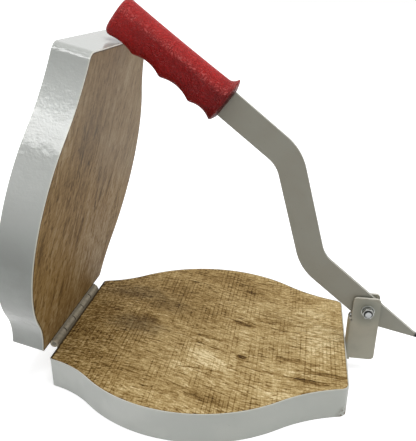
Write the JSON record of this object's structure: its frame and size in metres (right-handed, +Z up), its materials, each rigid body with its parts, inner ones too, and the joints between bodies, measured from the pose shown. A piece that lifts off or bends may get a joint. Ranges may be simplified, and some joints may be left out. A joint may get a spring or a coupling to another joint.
{
  "type": "tortilla press",
  "caption": "Tortilla press of two hinged wood-look boards with rounded pressing areas, and a bent flat-bar lever with a finger grip on a bracket.",
  "frame": {"origin": "middle of the base board's underside, half-way along its length and across its width", "axes": "+X towards the lever end, +Y across the press, +Z up; the lid is hinged at the -X end"},
  "size_m": [0.3833, 0.276, 0.3438],
  "materials": {
    "board_core": "raw board",
    "base_face": "satin oak-look sheet",
    "board_back": "satin oak-look sheet",
    "lid_face": "satin oak-look sheet",
    "base_band": "glossy light grey edge band",
    "lid_band": "glossy light grey edge band",
    "hinge_steel": "plain steel",
    "pin_steel": "bright steel",
    "screw_zinc": "bright zinc",
    "bracket_steel": "plain satin steel",
    "lever_steel": "plain satin steel",
    "bolt_zinc": "bright zinc",
    "grip_vinyl": "pebbled dark red vinyl"
  },
  "bodies": {
    "base": {"base_core": "board_core", "base_face_sheet": "base_face", "base_back_sheet": "board_back", "base_edge_band": "base_band", "hinge_leaf_base": "hinge_steel", "hinge_screws_base": "screw_zinc", "pivot_bracket": "bracket_steel", "bracket_screws": "screw_zinc"},
    "pin": {"hinge_pin": "pin_steel"},
    "lid": {"lid_core": "board_core", "lid_face_sheet": "lid_face", "lid_back_sheet": "board_back", "lid_edge_band": "lid_band", "hinge_leaf_lid": "hinge_steel", "hinge_screws_lid": "screw_zinc"},
    "bolt": {"pivot_bolt": "bolt_zinc", "pivot_nut": "bolt_zinc", "head_washer": "bolt_zinc", "nut_washer": "bolt_zinc", "spacer_washers": "bolt_zinc"},
    "lever": {"lever_bar": "lever_steel", "lever_grip": "grip_vinyl"}
  },
  "joints": [
    {"name": "lid_close", "type": "hinge", "parent": "base", "child": "pin", "pos_m": [-0.1446, 0, 0.0323], "axis": [0, -1, 0], "range_deg": [-75.9, 0]},
    {"name": "lid_open", "type": "hinge", "parent": "pin", "child": "lid", "pos_m": [-0.1446, 0, 0.0323], "axis": [0, -1, 0], "range_deg": [0, 104.1]},
    {"name": "lever_clear", "type": "hinge", "parent": "base", "child": "bolt", "pos_m": [0.157, 0, 0.0695], "axis": [0, -1, 0], "range_deg": [-46, 0]},
    {"name": "lever_swing", "type": "hinge", "parent": "bolt", "child": "lever", "pos_m": [0.157, 0, 0.0695], "axis": [0, -1, 0], "range_deg": [-26, 0]}
  ],
  "couplings": [
    {"joint": "lever_clear", "follows": "lid_close", "ratio": 0.6}
  ]
}
